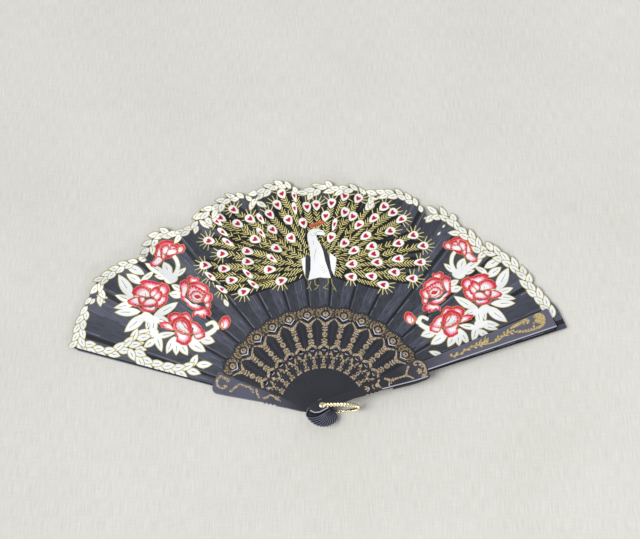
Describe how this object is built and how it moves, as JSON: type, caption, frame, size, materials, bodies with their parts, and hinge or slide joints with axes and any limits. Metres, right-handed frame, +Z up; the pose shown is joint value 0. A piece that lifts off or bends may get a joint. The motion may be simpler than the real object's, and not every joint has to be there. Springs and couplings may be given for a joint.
{
  "type": "folding hand fan",
  "caption": "Folding hand fan, open: pleated printed cloth leaf on pierced gold-foiled plastic sticks between two plastic guards, on a brass rivet with a brass bail.",
  "frame": {"origin": "on the rivet axis in the plane of the table, at the centre of the rivet foot", "axes": "+Z up from the table, +X to the right along the open fan, +Y away from the holder"},
  "size_m": [0.4218, 0.2326, 0.0236],
  "materials": {
    "black_plastic": "glossy moulded black with muted gold foil on the raised ornament",
    "leaf_cloth": "thin woven black synthetic cloth, printed white, gold and red",
    "brass": "bright brass"
  },
  "bodies": {
    "back_guard": {"back_guard": "black_plastic", "rivet": "brass", "leaf_panel_00": "leaf_cloth"},
    "stick_01": {"stick_01": "black_plastic", "leaf_panel_01": "leaf_cloth"},
    "stick_02": {"stick_02": "black_plastic", "leaf_panel_02": "leaf_cloth"},
    "stick_03": {"stick_03": "black_plastic", "leaf_panel_03": "leaf_cloth"},
    "stick_04": {"stick_04": "black_plastic", "leaf_panel_04": "leaf_cloth"},
    "stick_05": {"stick_05": "black_plastic", "leaf_panel_05": "leaf_cloth"},
    "stick_06": {"stick_06": "black_plastic", "leaf_panel_06": "leaf_cloth"},
    "stick_07": {"stick_07": "black_plastic", "leaf_panel_07": "leaf_cloth"},
    "stick_08": {"stick_08": "black_plastic", "leaf_panel_08": "leaf_cloth"},
    "stick_09": {"stick_09": "black_plastic", "leaf_panel_09": "leaf_cloth"},
    "stick_10": {"stick_10": "black_plastic", "leaf_panel_10": "leaf_cloth"},
    "stick_11": {"stick_11": "black_plastic", "leaf_panel_11": "leaf_cloth"},
    "stick_12": {"stick_12": "black_plastic", "leaf_panel_12": "leaf_cloth"},
    "front_guard": {"front_guard": "black_plastic", "leaf_panel_13": "leaf_cloth"},
    "bail": {"bail": "brass"}
  },
  "joints": [
    {"name": "stick_01_hinge", "type": "hinge", "parent": "back_guard", "child": "stick_01", "pos_m": [0, 0, 0], "axis": [0.0353, 0.0022, 0.9994], "range_deg": [0, 10.85], "deforming": ["leaf_panel_00"]},
    {"name": "stick_02_hinge", "type": "hinge", "parent": "stick_01", "child": "stick_02", "pos_m": [0, 0, 0], "axis": [0.0353, 0.0022, 0.9994], "range_deg": [0, 10.85], "deforming": ["leaf_panel_01"]},
    {"name": "stick_03_hinge", "type": "hinge", "parent": "stick_02", "child": "stick_03", "pos_m": [0, 0, 0], "axis": [0.0353, 0.0022, 0.9994], "range_deg": [0, 10.85], "deforming": ["leaf_panel_02"]},
    {"name": "stick_04_hinge", "type": "hinge", "parent": "stick_03", "child": "stick_04", "pos_m": [0, 0, 0], "axis": [0.0353, 0.0022, 0.9994], "range_deg": [0, 10.85], "deforming": ["leaf_panel_03"]},
    {"name": "stick_05_hinge", "type": "hinge", "parent": "stick_04", "child": "stick_05", "pos_m": [0, 0, 0], "axis": [0.0353, 0.0022, 0.9994], "range_deg": [0, 10.85], "deforming": ["leaf_panel_04"]},
    {"name": "stick_06_hinge", "type": "hinge", "parent": "stick_05", "child": "stick_06", "pos_m": [0, 0, 0], "axis": [0.0353, 0.0022, 0.9994], "range_deg": [0, 10.85], "deforming": ["leaf_panel_05"]},
    {"name": "stick_07_hinge", "type": "hinge", "parent": "stick_06", "child": "stick_07", "pos_m": [0, 0, 0], "axis": [0.0353, 0.0022, 0.9994], "range_deg": [0, 10.85], "deforming": ["leaf_panel_06"]},
    {"name": "stick_08_hinge", "type": "hinge", "parent": "stick_07", "child": "stick_08", "pos_m": [0, 0, 0], "axis": [0.0353, 0.0022, 0.9994], "range_deg": [0, 10.85], "deforming": ["leaf_panel_07"]},
    {"name": "stick_09_hinge", "type": "hinge", "parent": "stick_08", "child": "stick_09", "pos_m": [0, 0, 0], "axis": [0.0353, 0.0022, 0.9994], "range_deg": [0, 10.85], "deforming": ["leaf_panel_08"]},
    {"name": "stick_10_hinge", "type": "hinge", "parent": "stick_09", "child": "stick_10", "pos_m": [0, 0, 0], "axis": [0.0353, 0.0022, 0.9994], "range_deg": [0, 10.85], "deforming": ["leaf_panel_09"]},
    {"name": "stick_11_hinge", "type": "hinge", "parent": "stick_10", "child": "stick_11", "pos_m": [0, 0, 0], "axis": [0.0353, 0.0022, 0.9994], "range_deg": [0, 10.85], "deforming": ["leaf_panel_10"]},
    {"name": "stick_12_hinge", "type": "hinge", "parent": "stick_11", "child": "stick_12", "pos_m": [0, 0, 0], "axis": [0.0353, 0.0022, 0.9994], "range_deg": [0, 10.85], "deforming": ["leaf_panel_11"]},
    {"name": "front_guard_hinge", "type": "hinge", "parent": "stick_12", "child": "front_guard", "pos_m": [0, 0, 0], "axis": [0.0353, 0.0022, 0.9994], "range_deg": [0, 10.85], "deforming": ["leaf_panel_12"]},
    {"name": "bail_swing", "type": "hinge", "parent": "back_guard", "child": "bail", "pos_m": [0, 0, 0], "axis": [0.0353, 0.0022, 0.9994], "range_deg": [-160, 4]}
  ],
  "couplings": [
    {"joint": "stick_02_hinge", "follows": "stick_01_hinge", "ratio": 1},
    {"joint": "stick_03_hinge", "follows": "stick_01_hinge", "ratio": 1},
    {"joint": "stick_04_hinge", "follows": "stick_01_hinge", "ratio": 1},
    {"joint": "stick_05_hinge", "follows": "stick_01_hinge", "ratio": 1},
    {"joint": "stick_06_hinge", "follows": "stick_01_hinge", "ratio": 1},
    {"joint": "stick_07_hinge", "follows": "stick_01_hinge", "ratio": 1},
    {"joint": "stick_08_hinge", "follows": "stick_01_hinge", "ratio": 1},
    {"joint": "stick_09_hinge", "follows": "stick_01_hinge", "ratio": 1},
    {"joint": "stick_10_hinge", "follows": "stick_01_hinge", "ratio": 1},
    {"joint": "stick_11_hinge", "follows": "stick_01_hinge", "ratio": 1},
    {"joint": "stick_12_hinge", "follows": "stick_01_hinge", "ratio": 1},
    {"joint": "front_guard_hinge", "follows": "stick_01_hinge", "ratio": 1}
  ]
}
